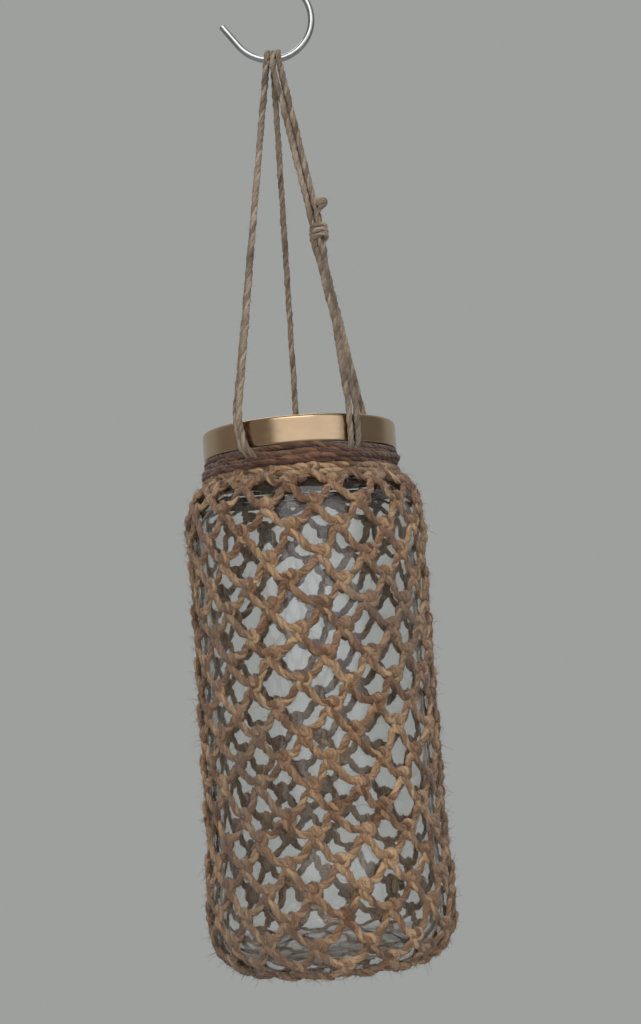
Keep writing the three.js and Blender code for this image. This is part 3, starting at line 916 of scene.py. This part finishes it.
# ---------------- hook


def hook_route():
    """The S-hook's centreline: arm, lower loop, diagonal, and the same again turned half round."""
    cross = math.asin(2 * HOOK_RADIUS / HOOK_CENTRES)
    start = -math.pi / 2 - HOOK_OPEN

    def at(angle):
        return np.array([HOOK_RADIUS * math.cos(angle), HOOK_RADIUS * math.sin(angle)])

    back = np.array([math.sin(start), -math.cos(start)])
    lower = [at(start) + back * reach for reach in np.linspace(HOOK_ARM, 0, 13)[:-1]]
    lower += [at(a) for a in np.linspace(start, cross, 90)]
    upper = [np.array([-x, HOOK_CENTRES - z]) for x, z in reversed(lower)]
    diagonal = straight(lower[-1], upper[0], 10)
    return np.array([[x, 0, z + LOWER_LOOP] for x, z in (*lower, *diagonal, *upper)])


def make_hook():
    """A round wire with its ends cut flat and the sharp edge taken off."""
    line = even(hook_route(), 0.7)
    radius, edge, sides = WIRE / 2, 0.22, 24
    tangent, normal, binormal = frames(line)
    s = distances(line)
    near = [(0, 0.0, radius - edge), (0, edge * 0.3, radius - edge * 0.3), (0, edge, radius)]
    stations = [(i, 0.0, radius) for i in range(1, len(line) - 1)]
    far = [(-1, -shift, r) for _, shift, r in reversed(near)]
    around = 2 * np.pi * np.arange(sides) / sides
    points, fibre = [], []
    for i, shift, r in near + stations + far:
        points.append(line[i] + tangent[i] * shift + r * across(around, normal[i], binormal[i]))
        fibre.append(np.column_stack([np.full(sides, s[i] + shift), r * np.cos(around), r * np.sin(around)]))
    attributes = {"fibre": np.concatenate(fibre)}
    hook = new_mesh("wire_hook", np.concatenate(points), ring_faces(len(points), sides), attributes)
    for polygon in list(hook.data.polygons)[-2:]:
        polygon.use_smooth = False
    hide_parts("s_hook")
    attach(hook, "hook")
    return hook


hook = make_hook()

# ---------------- materials


class Nodes:
    """The node tree of a material or of the world, with short ways to add nodes and to join them."""

    def __init__(self, owner, output="OutputMaterial"):
        self.owner = owner
        owner.use_nodes = True
        self.tree = owner.node_tree
        self.tree.nodes.clear()
        self.output = self.add(output)

    def add(self, kind, inputs=None, **settings):
        node = self.tree.nodes.new("ShaderNode" + kind)
        for key, value in settings.items():
            setattr(node, key, value)
        for key, value in (inputs or {}).items():
            self.put(node.inputs[key], value)
        return node

    def put(self, socket, value):
        if isinstance(value, bpy.types.NodeSocket):
            self.tree.links.new(value, socket)
        else:
            socket.default_value = value

    def attribute(self, name, output):
        return self.add("Attribute", attribute_name=name).outputs[output]

    def noise(self, vector, scale, detail=3.0, roughness=0.55):
        inputs = {"Vector": vector, "Scale": scale, "Detail": detail, "Roughness": roughness}
        return self.add("TexNoise", inputs).outputs["Fac"]

    def scaled(self, vector, scale):
        return self.add("Mapping", {"Vector": vector, "Scale": scale}).outputs["Vector"]

    def maths(self, operation, a, b):
        node = self.add("Math", operation=operation)
        self.put(node.inputs[0], a)
        self.put(node.inputs[1], b)
        return node.outputs[0]

    def weighted(self, *terms):
        """The sum of several values, each times its share."""
        total = None
        for value, share in terms:
            part = self.maths("MULTIPLY", value, share)
            total = part if total is None else self.maths("ADD", total, part)
        return total

    def offset(self, value):
        return self.maths("SUBTRACT", value, 0.5)

    def span(self, value, low, high, to_low=0.0, to_high=1.0, **settings):
        inputs = {"Value": value, "From Min": low, "From Max": high, "To Min": to_low, "To Max": to_high}
        return self.add("MapRange", inputs, **settings).outputs["Result"]

    def ramp(self, value, stops):
        node = self.add("ValToRGB", {"Fac": value})
        elements = node.color_ramp.elements
        while len(elements) < len(stops):
            elements.new(0.5)
        for element, (place, colour) in zip(elements, stops):
            element.position = place
            element.color = (*colour, 1)
        return node.outputs["Color"]

    def mix(self, share, a, b, blend="MIX"):
        node = self.add("Mix", data_type="RGBA", blend_type=blend)
        self.put(node.inputs["Factor"], share)
        self.put(node.inputs["A"], a)
        self.put(node.inputs["B"], b)
        return node.outputs["Result"]

    def bump(self, height, strength, distance):
        inputs = {"Height": height, "Strength": strength, "Distance": distance}
        return self.add("Bump", inputs).outputs["Normal"]

    def place(self):
        """A point of the object, in metres."""
        return self.add("TexCoord").outputs["Object"]

    def principled(self, inputs):
        return self.add("BsdfPrincipled", inputs).outputs["BSDF"]

    def finish(self, shader):
        self.tree.links.new(shader, self.output.inputs["Surface"])
        return self.owner


def srgb(red, green, blue):
    """A colour given as 0 to 255 in sRGB, over 10, as linear light."""
    return tuple(((c / 255 + 0.055) / 1.055) ** 2.4 for c in (red, green, blue))


def jute(name, dark, middle, light, stain):
    """Jute: streaks of fibre along each ply, painted shade in the grooves between the plies and slow changes
    of tone.
    """
    n = Nodes(bpy.data.materials.new(name))
    fibre = n.attribute("fibre", "Vector")
    groove = n.attribute("groove", "Fac")
    tone = n.attribute("tone", "Fac")
    place = n.place()
    streaks = n.noise(n.scaled(fibre, (0.45, 7.0, 7.0)), 1.0, 4.0, 0.65)
    fine = n.noise(n.scaled(fibre, (1.3, 19.0, 19.0)), 1.0, 2.0, 0.6)
    blotch = n.noise(place, 62.0, 3.0, 0.6)
    weather = n.noise(place, 21.0, 2.0, 0.5)
    value = n.weighted((streaks, 0.62), (fine, 0.38), (n.offset(tone), 0.22), (n.offset(blotch), 0.3))
    colour = n.ramp(value, ((0.34, dark), (0.48, middle), (0.64, light)))
    colour = n.mix(n.span(weather, 0.5, 0.72, 0.0, 0.55), colour, (*stain, 1))
    # painted shade: the colour is darkened towards the grooves between the plies, where shade falls
    shade = n.span(groove, 0.0, 0.75, 0.42, 1.0)
    grey = n.add("CombineColor", {"Red": shade, "Green": shade, "Blue": shade}).outputs[0]
    inputs = {
        "Base Color": n.mix(1.0, colour, grey, "MULTIPLY"),
        "Roughness": n.span(fine, 0.3, 0.7, 0.72, 0.92),
        "Specular IOR Level": 0.28,
        "Sheen Weight": 0.35,
        "Sheen Roughness": 0.45,
        "Normal": n.bump(n.maths("ADD", streaks, n.maths("MULTIPLY", fine, 0.5)), 0.75, 0.00022),
    }
    return n.finish(n.principled(inputs))


def clear_glass():
    """Soda-lime glass: faintly green, with the soft waves of a blown wall. Shadows take its tint."""
    n = Nodes(bpy.data.materials.new("clear_glass"))
    place = n.place()
    waves = n.noise(n.scaled(place, (1.0, 1.0, 0.5)), 30.0, 1.0, 0.4)
    smudge = n.noise(place, 70.0, 5.0, 0.65)
    inputs = {
        "Base Color": (0.972, 0.982, 0.972, 1),
        "Roughness": n.span(smudge, 0.52, 0.8, 0.004, 0.06),
        "IOR": 1.5,
        "Transmission Weight": 1.0,
        "Normal": n.bump(waves, 0.3, 0.0016),
    }
    through = n.add("BsdfTransparent", {"Color": (0.965, 0.98, 0.97, 1)}).outputs["BSDF"]
    shadow = n.add("LightPath").outputs["Is Shadow Ray"]
    return n.finish(n.add("MixShader", {0: shadow, 1: n.principled(inputs), 2: through}).outputs["Shader"])


def gold_lacquer():
    """Tinplate under gold lacquer: rolled grain round the lid, fine scuffs and slow changes of shade."""
    n = Nodes(bpy.data.materials.new("gold_lacquer"))
    place = n.place()
    parts = n.add("SeparateXYZ", {"Vector": place})
    x, y, z = (parts.outputs[k] for k in "XYZ")
    round_lid = n.maths("ARCTAN2", y, x)
    radius = n.maths("POWER", n.maths("ADD", n.maths("MULTIPLY", x, x), n.maths("MULTIPLY", y, y)), 0.5)
    stretches = {"X": (round_lid, 0.9), "Y": (radius, 900.0), "Z": (z, 900.0)}
    band = {key: n.maths("MULTIPLY", *stretch) for key, stretch in stretches.items()}
    grain = n.noise(n.add("CombineXYZ", band).outputs[0], 3.0, 3.0, 0.6)
    scuff = n.noise(n.scaled(place, (1, 1, 2.2)), 240.0, 5.0, 0.7)
    cloud = n.noise(place, 46.0, 3.0, 0.55)
    shades = ((0.3, srgb(184, 157, 122)), (0.55, srgb(196, 168, 133)), (0.75, srgb(204, 178, 144)))
    inputs = {
        "Base Color": n.ramp(cloud, shades),
        "Metallic": 1.0,
        "Roughness": n.span(scuff, 0.35, 0.75, 0.14, 0.27),
        "Coat Weight": 0.35,
        "Coat Roughness": 0.12,
        "Normal": n.bump(n.maths("ADD", grain, n.maths("MULTIPLY", scuff, 0.6)), 0.16, 0.00006),
    }
    return n.finish(n.principled(inputs))


def sealing_compound():
    """Plastisol: soft cream, a little mottled."""
    n = Nodes(bpy.data.materials.new("sealing_compound"))
    mottle = n.noise(n.place(), 420.0, 4.0, 0.6)
    inputs = {
        "Base Color": n.ramp(mottle, ((0.3, srgb(196, 192, 178)), (0.7, srgb(224, 221, 209)))),
        "Roughness": n.span(mottle, 0.3, 0.7, 0.45, 0.62),
        "Normal": n.bump(mottle, 0.3, 0.00008),
    }
    return n.finish(n.principled(inputs))


def polished_steel():
    """Drawn wire, polished: fine marks along the wire, faint haze and small dark pits."""
    n = Nodes(bpy.data.materials.new("polished_steel"))
    place = n.place()
    drawn = n.noise(n.scaled(n.attribute("fibre", "Vector"), (0.12, 9.0, 9.0)), 1.0, 3.0, 0.6)
    haze = n.noise(place, 160.0, 4.0, 0.6)
    pits = n.span(n.noise(place, 1500.0, 2.0, 0.6), 0.68, 0.74)
    colour = n.ramp(haze, ((0.3, srgb(172, 172, 172)), (0.7, srgb(205, 205, 204))))
    inputs = {
        "Base Color": n.mix(n.maths("MULTIPLY", pits, 0.5), colour, (*srgb(90, 84, 78), 1)),
        "Metallic": 1.0,
        "Roughness": n.maths("ADD", n.span(drawn, 0.3, 0.7, 0.1, 0.24), n.maths("MULTIPLY", pits, 0.3)),
        "Normal": n.bump(drawn, 0.25, 0.00005),
    }
    return n.finish(n.principled(inputs))


def dress(material, *dressed):
    """Gives pieces their material."""
    for piece in dressed:
        piece.data.materials.clear()
        piece.data.materials.append(material)


net_jute = jute("jute_net", srgb(82, 54, 36), srgb(146, 109, 79), srgb(214, 178, 136), srgb(118, 102, 88))
cord_jute = jute("jute_cord", srgb(88, 72, 55), srgb(142, 122, 101), srgb(194, 175, 152), srgb(118, 107, 92))
wrap_jute = jute("jute_winding", srgb(56, 34, 24), srgb(98, 65, 47), srgb(148, 109, 84), srgb(76, 56, 44))
dress(net_jute, net, net_fibres, drawstring, drawstring_knot, heading)
dress(cord_jute, *cords, knot, cord_fibres)
dress(wrap_jute, winding, winding_fibres)
dress(clear_glass(), jar)
dress(gold_lacquer(), lid)
dress(sealing_compound(), liner)
dress(polished_steel(), hook)

# ---------------- stage

SURROUNDINGS = (0.342, 0.35, 0.342)
MIDDLE_OF_JAR = (0, 0, -0.31)
FLOOR_LEVEL = -1200.0  # well under the hanging lantern
FLOOR_RADIUS = 3000.0


def make_world():
    """Soft studio surroundings: pale grey, darker at both sides, with a bright broad screen in front."""
    n = Nodes(bpy.data.worlds.new("studio"), "OutputWorld")
    direction = n.add("TexCoord").outputs["Generated"]

    def patch(towards, start, full):
        """1 round a direction, 0 away from it; start and full are cosines of the angle between."""
        inputs = {0: direction, 1: Vector(towards).normalized()}
        dot = n.add("VectorMath", inputs, operation="DOT_PRODUCT").outputs["Value"]
        return n.span(dot, start, full, interpolation_type="SMOOTHSTEP")

    layers = (
        (patch((0.97, -0.25, 0.1), 0.55, 0.85), (0.17, 0.17, 0.17)),
        (patch((-0.9, -0.45, 0.1), 0.5, 0.8), (0.22, 0.205, 0.19)),
        (patch((0.2, -0.95, 0.25), 0.7, 0.84), (1.1, 1.12, 1.18)),
        (patch((0.1, -0.5, -0.87), 0.41, 0.55), (0.33, 0.325, 0.32)),
    )
    colour = (*SURROUNDINGS, 1)
    for share, shade in layers:
        colour = n.mix(share, colour, (*shade, 1))
    background = n.add("Background", {"Color": colour, "Strength": 1.0})
    bpy.context.scene.world = n.finish(background.outputs[0])


def make_light(name, place, size, power):
    """A soft lamp, in metres and watts, that points at the jar."""
    data = bpy.data.lights.new(name, "AREA")
    data.shape = "RECTANGLE"
    data.size, data.size_y = size
    data.energy = power
    light = bpy.data.objects.new(name, data)
    light.location = place
    light.rotation_euler = (Vector(MIDDLE_OF_JAR) - Vector(place)).to_track_quat("-Z", "Y").to_euler()
    bpy.context.scene.collection.objects.link(light)
    return light


def make_floor():
    """A plain pale round floor."""
    sides = 96
    a = 2 * np.pi * np.arange(sides) / sides
    rim = [FLOOR_RADIUS * np.cos(a), FLOOR_RADIUS * np.sin(a), np.full(sides, FLOOR_LEVEL)]
    floor = new_mesh("floor", np.column_stack(rim), [np.arange(sides)[None, :]], smooth=False)
    n = Nodes(bpy.data.materials.new("floor"))
    shade = n.noise(n.place(), 3.0, 3.0, 0.5)
    colour = n.ramp(shade, ((0.3, (0.5, 0.51, 0.51)), (0.7, (0.54, 0.55, 0.55))))
    floor.data.materials.append(n.finish(n.principled({"Base Color": colour, "Roughness": 0.8})))


make_world()
make_light("key", (-0.12, -1.2, 0.85), (1.2, 0.8), 5)
fill = make_light("fill", (0.0, -1.0, -0.28), (0.5, 0.5), 2.5)
fill.visible_glossy = fill.visible_transmission = False  # the glass and the lid don't show it
make_light("back", (-0.3, 0.8, 1.4), (1.2, 0.8), 5)
make_floor()
bpy.context.scene.view_settings.view_transform = "Standard"
